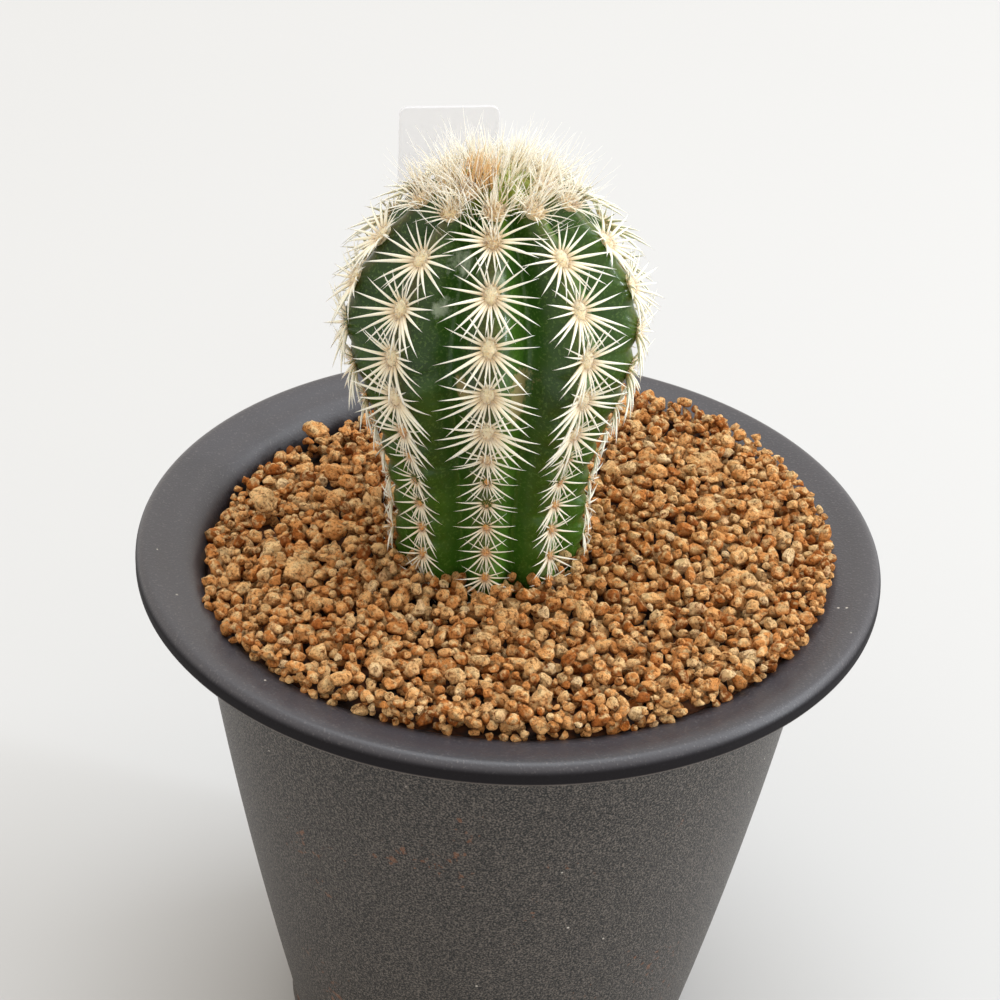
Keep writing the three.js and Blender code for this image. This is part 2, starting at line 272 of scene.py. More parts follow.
def pot_finish():
    """Dark moulded plastic: pebbled outside, smoother and cooler on the rim and inside, lightly dusted."""
    finish = Finish("moulded_pot_plastic")
    place = finish.place()
    height = finish.add("ShaderNodeSeparateXYZ", {}, {0: place}, output=2) * (1 / MM)
    level = finish.add("ShaderNodeVectorMath", {"operation": "MULTIPLY"}, {0: place, 1: (1, 1, 0)})
    radius = finish.add("ShaderNodeVectorMath", {"operation": "LENGTH"}, {0: level}, output=1) * (1 / MM)
    up = (height - FOOT_HEIGHT) * (1 / (NECK_HEIGHT - FOOT_HEIGHT))
    wall = up * (NECK_RADIUS - FOOT_RADIUS) + up * (1 - up) * 4 * POT_BULGE + FOOT_RADIUS - POT_WALL / 2
    outside = finish.mask(radius - wall, -0.2, 0.2)
    on_rim = finish.mask(height, NECK_HEIGHT - 0.2, NECK_HEIGHT + 0.1)
    body = outside * (1 - on_rim)
    on_lip = on_rim * finish.mask(radius, RIM_RADIUS - 3, RIM_RADIUS - 2)
    # Painted highlight: a thin light line along the lower edge of the lip, where that edge catches light.
    lip_edge_highlight = on_lip * (1 - finish.mask(height, NECK_HEIGHT + 0.25, NECK_HEIGHT + 0.55))
    # Painted shade on the outer side of the lip, under its rounded top: the near-black shader called shaded
    # is mixed in there below.
    lip_side_shade = on_lip * (1 - finish.mask(height, RIM_HEIGHT - 1.1, RIM_HEIGHT - 0.3))
    # Painted shade inside the throat and under the flange, darker the lower it lies.
    deep = (1 - body) * (1 - finish.mask(height, RIM_HEIGHT - 4.0, RIM_HEIGHT - 0.8))
    grain = finish.noise(3.4, detail=2.0)
    pebble = finish.noise(4.4, detail=1.0)
    drift = finish.noise(0.05, detail=2.0)
    warm = finish.mix(drift, rgb(63, 58, 54), rgb(73, 68, 64))
    # Painted shade in the low spots of the pebble pattern and painted light on its high spots, added to the
    # colour on top of the real bump.
    pits_shaded = finish.mix(1 - finish.mask(pebble, 0.4, 0.52), warm, rgb(10, 8, 7))
    crests_lit = finish.mix(finish.mask(pebble, 0.54, 0.66) * 0.68, pits_shaded, rgb(118, 110, 102))
    cool = finish.mix(drift, rgb(49, 48, 54), rgb(63, 61, 68))
    speckled = finish.mix(finish.mask(grain, 0.56, 0.72) * 0.3, cool, rgb(122, 118, 119))
    # The rim colour with the painted shade of the throat mixed in.
    rim = finish.mix(deep * 0.8, speckled, rgb(22, 20, 24))
    whole = finish.mix(body, rim, crests_lit)
    # The lip's lower edge gets its painted highlight here.
    edged = finish.mix(lip_edge_highlight * 0.6, whole, rgb(112, 102, 92))
    flecks = finish.mask(1 - finish.cells(0.33), 0.93, 0.97) * finish.mask(finish.noise(0.3), 0.55, 0.6)
    dusted = finish.mix(flecks * 0.8, edged, rgb(214, 208, 198))
    rust = finish.mask(finish.noise(0.9) * finish.noise(0.08, detail=1.0), 0.41, 0.47) * body
    rusty = finish.mix(rust * 0.4, dusted, rgb(150, 92, 52))
    relief = pebble * body + grain * (0.34 - body * 0.2)
    plastic = finish.shader(
        Base_Color=rusty,
        Roughness=0.42 + body * 0.08 + grain * 0.12,
        Specular_IOR_Level=0.25,
        Coat_Weight=0.75 - finish.least(deep + lip_side_shade + body * 0.5, 1.0) * 0.75,
        Coat_Roughness=0.4,
        Normal=finish.bump(relief, 0.25),
    )
    # The near-black shader that carries the lip's painted shade.
    shaded = finish.shader(Base_Color=rgb(26, 24, 26), Roughness=0.6, Specular_IOR_Level=0.05)
    lip_shade = lip_side_shade * (1 - lip_edge_highlight) * 0.9
    return finish.ends_in(finish.add("ShaderNodeMixShader", {}, {0: lip_shade, 1: plastic, 2: shaded}))


GRIT_STOPS = [
    (0.0, rgb(114, 60, 30)),
    (0.2, rgb(192, 116, 58)),
    (0.42, rgb(240, 168, 100)),
    (0.64, rgb(253, 196, 130)),
    (0.82, rgb(255, 214, 156)),
    (0.94, rgb(255, 228, 184)),
    (1.0, rgb(156, 132, 112)),
]


def grit_finish(name):
    """Baked clay granules, each with its own tint: pitted and stained, with painted light on their tops and
    painted shade underneath.
    """
    finish = Finish(name)
    tint = finish.attribute("tint")
    mottle = finish.noise(0.8, detail=4.0)
    colour = finish.ramp(tint * 0.75 + mottle * 0.3 - 0.02, GRIT_STOPS)
    pits = finish.mask(finish.noise(1.5, detail=5.0, roughness=0.7), 0.34, 0.47)
    pitted = finish.mix(pits, rgb(142, 74, 28), colour)
    stain = finish.mask(finish.noise(0.4), 0.48, 0.64)
    stained = finish.mix(stain * 0.35, pitted, rgb(218, 128, 50))
    top = finish.attribute("lift")
    # Painted highlight: pale patches in noise on the upper part of each granule, where light falls.
    top_highlight = finish.mask(finish.noise(1.1), 0.46, 0.64) * finish.mask(top, 0.3, 0.8)
    top_lit = finish.mix(top_highlight * 0.85, stained, rgb(255, 218, 160))
    # Painted shade on the lower part of each granule, from its height within the turned copy.
    underside_shade = 1 - finish.mask(top, 0.02, 0.46)
    underside_shaded = finish.mix(underside_shade * 0.88, top_lit, rgb(66, 20, 4))
    crumbs = finish.noise(3.4, detail=3.0, roughness=0.7)
    crumbly = finish.mix((1 - finish.mask(crumbs, 0.36, 0.5)) * 0.5, underside_shaded, rgb(114, 56, 20))
    relief = finish.noise(1.8, detail=5.0, roughness=0.75) + crumbs * 0.4
    shader = finish.shader(
        Base_Color=crumbly,
        Roughness=0.82 + mottle * 0.15,
        Specular_IOR_Level=0.08,
        Normal=finish.bump(relief + pits * 0.4, 0.6),
    )
    return finish.ends_in(shader)


def bed_finish():
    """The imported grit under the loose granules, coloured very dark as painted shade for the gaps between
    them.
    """
    finish = Finish("packed_grit")
    cells = finish.cells(0.55)
    grain = finish.noise(0.5) + finish.noise(1.5) * 0.3
    colour = finish.ramp(grain, [(0.3, rgb(44, 18, 6)), (0.9, rgb(104, 60, 28))])
    # Painted shade, darker still towards the edges of the cells.
    shaded = finish.mix(finish.mask(cells, 0.3, 0.75), colour, rgb(26, 9, 2))
    shader = finish.shader(Base_Color=shaded, Roughness=0.95, Normal=finish.bump(1 - cells, 0.7, 0.9))
    return finish.ends_in(shader)


def stone_finish():
    """Coarse pale drainage stones."""
    finish = Finish("drainage_stone")
    cells = finish.cells(0.22)
    grain = finish.noise(1.2, detail=5.0)
    colour = finish.mix(grain, rgb(150, 140, 122), rgb(206, 198, 180))
    shaded = finish.mix(finish.mask(cells, 0.4, 0.9), colour, rgb(84, 76, 64))
    shader = finish.shader(Base_Color=shaded, Roughness=0.95, Normal=finish.bump(1 - cells, 1.4, 0.8))
    return finish.ends_in(shader)


def skin_finish():
    """Glossy green skin: dark and mottled, yellower at the growing tip, with bloom and corky scars."""
    finish = Finish("cactus_skin")
    crest = finish.attribute("crest")
    # The side value serves the painted light on one flank of each rib.
    side = finish.attribute("side")
    tall = finish.attribute("tall")
    soft = finish.noise(0.16, detail=3.0)
    fine = finish.noise(1.6, detail=3.0)
    dark = finish.mix(soft, rgb(22, 44, 10), rgb(44, 70, 14))
    bright = finish.mix(soft, rgb(54, 98, 10), rgb(90, 132, 22))
    across = finish.add("ShaderNodeSeparateXYZ", {}, {0: finish.place()})
    # Partly real mottling from the soft noise, and partly painted light: the stem's right side and one flank
    # of each rib are made brighter green.
    right_side_light = finish.mask(across, -14 * MM, 14 * MM)
    green = finish.mix(finish.mask(side * 0.3 + soft * 0.7 + right_side_light * 0.5, 0.5, 1.3), dark, bright)
    valley = finish.mix((1 - crest) * 0.5, green, rgb(36, 84, 16))
    base = finish.mix((1 - finish.mask(tall, 0.1, 0.5)) * 0.4, valley, rgb(72, 120, 34))
    tip = finish.mix(finish.mask(tall, 0.93, 0.99), base, rgb(132, 142, 44))
    stipple = finish.noise(3.0, detail=2.0)
    dotted = finish.mix(finish.mask(stipple, 0.54, 0.68) * 0.4, tip, rgb(104, 136, 66))
    powder = finish.noise(0.8, detail=6.0, roughness=0.72)
    bloom = finish.mask(powder + marks(finish, BLOOM_MARKS) * 0.55, 0.78, 1.1)
    bloomed = finish.mix(bloom * 0.75, dotted, rgb(176, 190, 168))
    speckle = finish.noise(1.3, detail=5.0, roughness=0.7)
    cork = finish.mask(speckle + marks(finish, CORK_MARKS) * 0.65, 0.76, 1.0)
    corky = finish.mix(cork * 0.7, bloomed, rgb(168, 150, 104))
    edge = finish.mask(crest + speckle * 0.3, 1.02, 1.2)
    edged = finish.mix(edge * 0.2, corky, rgb(138, 112, 66))
    shader = finish.shader(
        Base_Color=edged,
        Roughness=0.3 + cork * 0.35 + bloom * 0.25 + fine * 0.06,
        Subsurface_Weight=0.1,
        Subsurface_Radius=(0.3, 1.0, 0.2),
        Subsurface_Scale=0.002,
        Specular_IOR_Level=0.3,
        Coat_Weight=0.25,
        Coat_Roughness=0.08,
        Normal=finish.bump(fine + soft * 0.6, 0.1, 0.45),
    )
    return finish.ends_in(shader)


def marks(finish, places):
    """1 at the middle of each mark on the stem, falling to 0 at its edge."""
    total = 0.0
    for rib, height, reach in places:
        angle = math.tau * rib / RIBS
        radius = stem_radius(angle, height)
        middle = STEM_PLACE @ Vector((radius * math.cos(angle), radius * math.sin(angle), height))
        sockets = {0: finish.place(), 1: middle * MM}
        away = finish.add("ShaderNodeVectorMath", {"operation": "DISTANCE"}, sockets, output=1)
        total = total + (1 - finish.mask(away, 0.0, reach * MM))
    return total


def spine_finish():
    """Ivory spines with a warm base, translucent towards their tips."""
    finish = Finish("ivory_spine")
    along = finish.attribute("along")
    tint = finish.attribute("tint")
    stops = [(0.0, rgb(238, 210, 172)), (0.3, rgb(251, 240, 216)), (1.0, rgb(254, 249, 234))]
    shaft = finish.ramp(along, stops)
    warm = finish.mix(finish.mask(tint, 0.92, 0.96) * 0.85, shaft, rgb(206, 144, 52))
    streaked = finish.mix(finish.noise(1.8) * 0.2, warm, rgb(252, 242, 214))
    shader = finish.shader(
        Base_Color=streaked,
        Roughness=0.4 + along * 0.1,
        Subsurface_Weight=0.5,
        Subsurface_Radius=(1.0, 0.85, 0.7),
        Subsurface_Scale=0.0005,
    )
    return finish.ends_in(shader)


def felt_finish():
    """The felt of the areoles: cream and peach above, orange-brown on the older ones near the base."""
    finish = Finish("areole_felt")
    tint = finish.attribute("tint")
    along = finish.attribute("along")
    fuzz = finish.noise(3.0, detail=4.0, roughness=0.7)
    old = finish.mix(along, rgb(214, 130, 44), rgb(240, 178, 98))
    fresh = finish.mix(along, rgb(255, 220, 172), rgb(255, 240, 206))
    colour = finish.mix(finish.mask(tint, 0.2, 0.7), old, fresh)
    mottled = finish.mix(finish.mask(fuzz, 0.4, 0.7) * 0.5, colour, rgb(255, 238, 204))
    shader = finish.shader(
        Base_Color=mottled,
        Roughness=0.95,
        Subsurface_Weight=0.55,
        Subsurface_Radius=(1.0, 0.85, 0.65),
        Subsurface_Scale=0.0009,
        Sheen_Weight=0.15,
        Sheen_Roughness=0.5,
        Normal=finish.bump(fuzz, 0.3),
    )
    return finish.ends_in(shader)


def label_finish():
    """A thin, cloudy, half clear plastic."""
    finish = Finish("label_plastic")
    cloud = finish.noise(0.12, detail=2.0)
    shader = finish.shader(
        Base_Color=finish.mix(cloud, rgb(236, 237, 244), rgb(243, 244, 250)),
        Roughness=0.45 + cloud * 0.1,
        Alpha=0.3 + cloud * 0.08,
        Normal=finish.bump(finish.noise(1.0), 0.02, 0.4),
    )
    return finish.ends_in(shader)


def floor_finish():
    """A plain pale tabletop with the faintest mottling."""
    finish = Finish("pale_floor")
    cloud = finish.noise(0.006, detail=3.0)
    pale = finish.mix(cloud, rgb(194, 194, 195), rgb(197, 197, 198))
    return finish.ends_in(finish.shader(Base_Color=pale, Roughness=0.8))


# ---- Mesh helpers ----


def turned(outline, sides):
    """A bmesh of an outline of (radius, height) points, spun once round the Z axis."""
    bm = bmesh.new()
    points = [bm.verts.new((radius, 0, height)) for radius, height in outline]
    edges = [bm.edges.new(pair) for pair in zip(points, points[1:])]
    around = {"cent": (0, 0, 0), "axis": (0, 0, 1), "angle": math.tau, "steps": sides, "use_merge": True}
    bmesh.ops.spin(bm, geom=points + edges, **around)
    bmesh.ops.remove_doubles(bm, verts=bm.verts, dist=1e-4)
    bmesh.ops.recalc_face_normals(bm, faces=bm.faces)
    return bm


def arc(centre, radius, start, end, count):
    """Points on an arc, with its angles in degrees from the outward direction."""
    angles = [math.radians(start + (end - start) * i / count) for i in range(count + 1)]
    return [(centre[0] + radius * math.cos(a), centre[1] + radius * math.sin(a)) for a in angles]


def spread(first, last, count):
    """Evenly spaced values from first to last, both included."""
    return [first + (last - first) * i / count for i in range(count + 1)]


def mesh_of(bm, name):
    """A bmesh in millimetres as a mesh in metres."""
    bmesh.ops.scale(bm, verts=bm.verts, vec=(MM, MM, MM))
    mesh = bpy.data.meshes.new(name)
    bm.to_mesh(mesh)
    bm.free()
    return mesh


def piece(name, mesh, finish, stands_for=(), smooth=True):
    """A piece of the plant or its pot, riding with the frame."""
    obj = bpy.data.objects.new(name, mesh)
    bpy.context.scene.collection.objects.link(obj)
    mesh.polygons.foreach_set("use_smooth", [smooth] * len(mesh.polygons))
    mesh.materials.clear()
    mesh.materials.append(finish)
    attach(obj, BODY)
    if stands_for:
        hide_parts(*stands_for)
    return obj


def smoothstep(value, low, high):
    """0 below low and 1 above high, smooth between them."""
    t = min(max((value - low) / (high - low), 0.0), 1.0)
    return t * t * (3 - 2 * t)


def lerp(first, last, t):
    """The value a share t of the way from first to last."""
    return first + (last - first) * t


def stray(rng, size):
    """A random vector that is about that long in each direction."""
    return Vector((rng.gauss(0, size), rng.gauss(0, size), rng.gauss(0, size)))


class Shape:
    """A small triangulated shape that is copied many times, with a value from 0 to 1 along its height."""

    def __init__(self, bm):
        bmesh.ops.triangulate(bm, faces=bm.faces)
        bm.verts.index_update()
        self.points = np.array([vertex.co for vertex in bm.verts])
        self.faces = np.array([[vertex.index for vertex in face.verts] for face in bm.faces])
        heights = self.points[:, 2]
        self.along = (heights - heights.min()) / np.ptp(heights)
        bm.free()


def copies(name, shapes, places):
    """One mesh of many copies. Each place is (shape number, matrix in millimetres, tint).

    Its values are each copy's tint, the height along the shape, and the height within the turned copy.
    """
    points, faces, tints, along, lift = [], [], [], [], []
    first = 0
    for number, matrix, tint in places:
        shape = shapes[number]
        turn = np.array(matrix)
        placed = shape.points @ turn[:3, :3].T + turn[:3, 3]
        points.append(placed * MM)
        lift.append((placed[:, 2] - placed[:, 2].min()) / np.ptp(placed[:, 2]))
        faces.append(shape.faces + first)
        tints.append(np.full(len(shape.points), tint))
        along.append(shape.along)
        first += len(shape.points)
    mesh = bpy.data.meshes.new(name)
    corners = np.concatenate(faces)
    mesh.vertices.add(first)
    mesh.vertices.foreach_set("co", np.concatenate(points).ravel())
    mesh.loops.add(corners.size)
    mesh.loops.foreach_set("vertex_index", corners.ravel())
    mesh.polygons.add(len(corners))
    mesh.polygons.foreach_set("loop_start", np.arange(0, corners.size, 3))
    mesh.update(calc_edges=True)
    store(mesh, "tint", np.concatenate(tints))
    store(mesh, "along", np.concatenate(along))
    store(mesh, "lift", np.concatenate(lift))
    return mesh


def store(mesh, name, values):
    """A value at each of the mesh's points, for a material to read."""
    attribute = mesh.attributes.new(name, "FLOAT", "POINT")
    attribute.data.foreach_set("value", np.asarray(values, np.float32))


# ---- Pot ----


def pot_outside(height):
    """Outside radius of the pot's slightly bulging wall."""
    t = min(max((height - FOOT_HEIGHT) / (NECK_HEIGHT - FOOT_HEIGHT), 0), 1)
    return lerp(FOOT_RADIUS, NECK_RADIUS, t) + 4 * POT_BULGE * t * (1 - t)


def pot_inside(height):
    """Inside radius of the pot, which flares in a rounded throat just under the rim."""
    start = THROAT_TOP - THROAT_RADIUS
    above = min(max(height - start, 0), THROAT_RADIUS)
    return pot_outside(min(height, start)) - POT_WALL + THROAT_RADIUS - math.sqrt(THROAT_RADIUS**2 - above**2)


def pot_outline():
    """The pot's section, from the middle of its underside round the rim to the middle of its floor."""
    foot_inside = FOOT_RADIUS - FOOT_WIDTH
    floor_top = FOOT_HEIGHT + FLOOR_THICKNESS
    crest = RIM_RADIUS - 1.3
    throat_start = THROAT_TOP - THROAT_RADIUS
    throat_centre = pot_outside(throat_start) - POT_WALL + THROAT_RADIUS
    body = [(pot_outside(z), z) for z in spread(FOOT_HEIGHT + 1.4, NECK_HEIGHT - 0.5, 24)]
    inside = [(pot_outside(z) - POT_WALL, z) for z in spread(throat_start, floor_top + 1.5, 16)]
    return [
        (0, FOOT_HEIGHT),
        (foot_inside - 1, FOOT_HEIGHT),
        *arc((foot_inside - 0.6, FOOT_HEIGHT - 0.6), 0.6, 90, 0, 3),
        *arc((foot_inside + 0.4, 0.4), 0.4, 180, 270, 3),
        *arc((FOOT_RADIUS - 0.4, 0.4), 0.4, 270, 360, 4),
        (FOOT_RADIUS, FOOT_HEIGHT - 0.7),
        (FOOT_RADIUS - 0.12, FOOT_HEIGHT - 0.3),
        (FOOT_RADIUS + 0.05, FOOT_HEIGHT + 0.3),
        *body,
        *arc((NECK_RADIUS + 0.55, NECK_HEIGHT + 0.25), 0.55, 180, 90, 4),
        (crest - 0.7, RIM_HEIGHT - FLANGE_THICKNESS),
        *arc((crest - 0.35, RIM_HEIGHT - FLANGE_THICKNESS - 0.3), 0.3, 90, 0, 3),
        *arc((crest + 0.3, RIM_HEIGHT - LIP_DROP + 0.3), 0.3, 180, 270, 3),
        *arc((RIM_RADIUS - 0.5, RIM_HEIGHT - LIP_DROP + 0.5), 0.5, 270, 360, 4),
        *arc((crest, RIM_HEIGHT - 1.3), 1.3, 0, 90, 9),
        (crest - 0.9, RIM_HEIGHT - 0.1),
        (crest - 1.9, RIM_HEIGHT - 0.36),
        *arc((throat_centre, throat_start), THROAT_RADIUS, 90, 180, 10),
        *inside[1:],
        *arc((inside[-1][0] - 1.5, floor_top + 1.5), 1.5, 0, -90, 4)[1:],
        (0, floor_top),
    ]


def drain_cutter():
    """The drain's round hole and its radial slots as one bmesh."""
    bm = bmesh.new()
    deep = FLOOR_THICKNESS * 4
    middle = Matrix.Translation((0, 0, FOOT_HEIGHT + FLOOR_THICKNESS / 2))
    hole = {"segments": 40, "radius1": DRAIN_RADIUS, "radius2": DRAIN_RADIUS, "depth": deep}
    bmesh.ops.create_cone(bm, cap_ends=True, matrix=middle, **hole)
    length, width = DRAIN_SLOT
    for i in range(DRAIN_SLOTS):
        turn = Matrix.Rotation(math.tau * i / DRAIN_SLOTS, 4, "Z")
        out = Matrix.Translation((DRAIN_SLOT_START + length / 2, 0, 0))
        size = Matrix.Diagonal((length, width, deep, 1))
        bmesh.ops.create_cube(bm, size=1, matrix=middle @ turn @ out @ size)
    return bm


def make_pot():
    """The pot's shell, with the drain cut through its floor."""
    shell = mesh_of(turned(pot_outline(), POT_SIDES), "pot_shell")
    pot = piece("pot_shell", shell, pot_finish(), ["pot"])
    cutter = bpy.data.objects.new("drain_cutter", mesh_of(drain_cutter(), "drain_cutter"))
    bpy.context.scene.collection.objects.link(cutter)
    cut = pot.modifiers.new("drain", "BOOLEAN")
    cut.operation = "DIFFERENCE"
    cut.solver = "EXACT"
    cut.object = cutter
    bpy.context.view_layer.update()
    cut_mesh = bpy.data.meshes.new_from_object(pot.evaluated_get(bpy.context.evaluated_depsgraph_get()))
    pot.modifiers.clear()
    pot.data = cut_mesh
    bpy.data.objects.remove(cutter)


# ---- Cactus stem ----


def crest_radius(height):
    """Radius over the rib crests."""
    if height >= SHOULDER:
        rise = min((height - SHOULDER) / CROWN_RISE, 1)
        return STEM_BODY * (1 - rise**CROWN_POWER) ** (1 / CROWN_POWER)
    if height < -BURIED_NECK:
        down = min((-BURIED_NECK - height) / (ROOT_LENGTH - BURIED_NECK), 1)
        return lerp(STEM_NECK, ROOT_TIP, down**ROOT_TAPER)
    swell = smoothstep(height, WAIST, SHOULDER)
    neck = STEM_NECK + STEM_FLARE * max(height, 0) * (1 - swell)
    return lerp(neck, STEM_BODY, swell)


def rib_depth(height):
    """Depth of the furrows: none on the root, and fading to the growing point."""
    depth = lerp(LOWER_RIB_DEPTH, UPPER_RIB_DEPTH, smoothstep(height, WAIST, SHOULDER))
    buried = smoothstep(height, -BURIED_NECK, 0)
    crown = min(1, crest_radius(height) / STEM_BODY / 0.6) if height > SHOULDER else 1
    return depth * buried * crown


def furrow(angle):
    """0 on a rib's crest and 1 in the rounded bottom of a furrow."""
    soft = 0.16
    return (1 - math.hypot(math.cos(RIBS * angle / 2), soft)) / (1 - soft)


def stem_radius(angle, height):
    """Radius of the ribbed stem, before its tubercles."""
    return crest_radius(height) - rib_depth(height) * furrow(angle)


STEM_PLACE = (
    Matrix.Translation((STEM_X, STEM_Y, RIM_HEIGHT))
    @ Matrix.Rotation(-STEM_LEAN, 4, "Y")
    @ Matrix.Rotation(-math.pi / 2, 4, "Z")
)


def slope_at(height):
    """How much the crest comes in for each millimetre of height."""
    step = 0.05
    low, high = max(height - step, -ROOT_LENGTH), min(height + step, STEM_HEIGHT - 1e-6)
    return (crest_radius(low) - crest_radius(high)) / (high - low)


def areole_heights(start):
    """Heights of a rib's areoles: close set on the old base, wide on the body and crowded at the crown."""
    heights, height = [], start
    while height < STEM_HEIGHT - 0.9:
        heights.append(height)
        spacing = lerp(body_spacing(height), CROWN_SPACING, smoothstep(height, 44, 47))
        height += spacing / math.hypot(1, slope_at(height))
    return heights


def body_spacing(height):
    """Spacing of the areoles, close on the old base and wide on the body."""
    return lerp(LOWER_SPACING, UPPER_SPACING, smoothstep(height, 18, 25))


def bulge_at(height, heights):
    """The swelling of a rib under its areoles, from 0 between two to 1 at one."""
    nearest = min(abs(height - areole) for areole in heights)
    reach = body_spacing(height) / 2
    return max(0.0, math.cos(min(nearest / reach, 1) * math.pi / 2))


def make_stem():
    """The ribbed stem with its tubercles, its buried neck and its tap root, as it grew."""
    crown = [SHOULDER + CROWN_RISE * math.sin(a) for a in spread(0, math.pi / 2, 34)]
    body = spread(-BURIED_NECK, SHOULDER, 96)
    root = spread(-ROOT_LENGTH, -BURIED_NECK, 12)
    heights = [*root[:-1], *body[:-1], *crown[:-1]]
    outline = [(0, -ROOT_LENGTH), *((crest_radius(z), z) for z in heights), (0, STEM_HEIGHT)]
    bm = turned(outline, RIBS * RIB_SIDES)
    rows = [areole_heights(start) for start in AREOLE_STARTS]
    crest, side, tall = [], [], []
    for vertex in bm.verts:
        radius = math.hypot(vertex.co.x, vertex.co.y)
        angle = math.atan2(vertex.co.y, vertex.co.x)
        rib = round(angle * RIBS / math.tau) % RIBS
        height = vertex.co.z
        depth = furrow(angle)
        offset = (angle * RIBS / math.tau + 0.5) % 1 - 0.5
        if radius > 0.01:
            swelling = TUBERCLE * bulge_at(height, rows[rib]) * (1 - depth) ** 2 * smoothstep(height, -2, 2)
            wander = 0.45 * noise.noise(vertex.co * 0.09) + 0.14 * noise.noise(vertex.co * 0.4)
            shift = (stem_radius(angle, height) + (swelling - 0.35 + wander) * min(1, radius / 8)) / radius
            vertex.co.x *= shift
            vertex.co.y *= shift
        crest.append(1 - depth)
        # The side value is used for painted light on one flank of each rib.
        side.append(0.5 + 0.5 * math.sin(math.tau * offset))
        tall.append(min(max(height / STEM_HEIGHT, 0), 1))
    bmesh.ops.transform(bm, matrix=STEM_PLACE, verts=bm.verts)
    mesh = mesh_of(bm, "cactus_body")
    store(mesh, "crest", crest)
    store(mesh, "side", side)
    store(mesh, "tall", tall)
    piece("cactus_body", mesh, skin_finish(), ["cactus_stem"])
    return rows


# ---- Areoles and spines ----


def spine_shape(thickness, bend):
    """A tapered spine one unit long, standing on the origin and leaning over towards +X."""
    bm = bmesh.new()
    bmesh.ops.create_circle(bm, cap_ends=True, segments=5, radius=thickness)
    ring = list(bm.edges)
    joints = 5
    for joint in range(1, joints + 1):
        grown = bmesh.ops.extrude_edge_only(bm, edges=ring)["geom"]
        tips = [item for item in grown if isinstance(item, bmesh.types.BMVert)]
        ring = [item for item in grown if isinstance(item, bmesh.types.BMEdge)]
        here, before = (joint / joints) ** 2, ((joint - 1) / joints) ** 2
        taper = max(1 - here, 0.06) / max(1 - before, 0.06)
        sweep = bend * (here - before)
        centre = sum((vertex.co for vertex in tips), Vector()) / len(tips)
        bmesh.ops.scale(bm, verts=tips, vec=(taper, taper, 1), space=Matrix.Translation(-centre))
        bmesh.ops.translate(bm, verts=tips, vec=(sweep, 0, 1 / joints))
    bmesh.ops.pointmerge(bm, verts=tips, merge_co=sum((v.co for v in tips), Vector()) / len(tips))
    bmesh.ops.recalc_face_normals(bm, faces=bm.faces)
    return Shape(bm)


def pad_shape():
    """A cushion of felt about one unit in radius."""
    bm = bmesh.new()
    bmesh.ops.create_icosphere(bm, subdivisions=3, radius=1)
    for vertex in bm.verts:
        vertex.co *= 1 + 0.16 * noise.noise(vertex.co * 2.7)
    return Shape(bm)


def hair_shape(thickness, bend):
    """A fine tapered hair one unit long, with a bend towards +X."""
    bm = bmesh.new()
    bmesh.ops.create_cone(bm, cap_ends=True, segments=3, radius1=thickness, radius2=thickness / 6, depth=1)
    for vertex in bm.verts:
        vertex.co.z += 0.5
        vertex.co.x += bend * vertex.co.z
    return Shape(bm)


def rib_frame(rib, height):
    """The place, outward, upward and sideways directions of a rib's crest at a height, in the pot's frame."""
    tilt = math.atan(slope_at(height))
    turn = Matrix.Rotation(math.tau * rib / RIBS, 4, "Z")
    outward = turn @ Vector((math.cos(tilt), 0, math.sin(tilt)))
    upward = turn @ Vector((-math.sin(tilt), 0, math.cos(tilt)))
    point = turn @ Vector((crest_radius(height), 0, height))
    to_pot = STEM_PLACE.to_3x3()
    outward, upward = to_pot @ outward, to_pot @ upward
    return STEM_PLACE @ point, outward, upward, outward.cross(upward)


def aimed(point, direction, lean_to, length):
    """A matrix that stands a unit spine on a point along a direction, with its bend towards lean_to."""
    up = direction.normalized()
    side = (lean_to - up * lean_to.dot(up)).normalized()
    turn = Matrix((side, up.cross(side), up)).transposed().to_4x4()
    return Matrix.Translation(point) @ turn @ Matrix.Scale(length, 4)


def grown_at(height):
    """0 on the old base of the stem and 1 on its body."""
    return smoothstep(height, 19.5, 26)


def by_age(values, grown, young):
    """A value between those for the old base, the body and the crown."""
    base, body, crown = values
    return lerp(lerp(base, body, grown), crown, young)


def radial_spines(rng, rib, height):
    """The comb of spines that one areole carries, as places for copies."""
    point, outward, upward, sideways = rib_frame(rib, height)
    half_width, half_height, _ = pad_size(height)
    grown = grown_at(height)
    young = smoothstep(height, 45.5, 48.5)
    count = round(by_age(SPINE_COUNTS, grown, young))
    reach = by_age(SPINE_REACH, grown, young)
    crowding = lerp(0.45, 0.25, grown) * (1 - young)
    places = []
    for i in range(count):
        turn = (i + 0.5 + rng.uniform(-0.3, 0.3)) / count
        around = math.tau * turn + crowding * math.sin(math.tau * turn)
        down = (1 - math.cos(around)) / 2
        lift = math.radians(by_age(SPINE_LIFT, grown, young) + rng.uniform(-6, 8))
        flat = upward * math.cos(around) + sideways * math.sin(around)
        edge = upward * math.cos(around) * half_height + sideways * math.sin(around) * half_width
        direction = flat * math.cos(lift) + outward * math.sin(lift)
        straight_down = max(-math.cos(around), 0) ** 5
        length = reach * lerp(0.45, 1.0, down**0.5) * (1 - 0.38 * straight_down) * rng.uniform(0.88, 1.1)
        length = lerp(length, reach * rng.uniform(0.75, 1.1), young)
        foot = point + edge * 0.72 + outward * 0.2
        places.append((spine_kind(rng, young), aimed(foot, direction, -outward, length), rng.uniform(0, 0.9)))
    if crest_radius(height) < TUFT_RADIUS + 3.5:
        places += crown_spines(rng, point, outward)
    return places


def spine_kind(rng, young):
    """Number of a spine's shape: a thick one on the body or a thin one at the crown."""
    return rng.randrange(BODY_SHAPES, len(SPINE_SHAPES)) if young > 0.3 else rng.randrange(BODY_SHAPES)


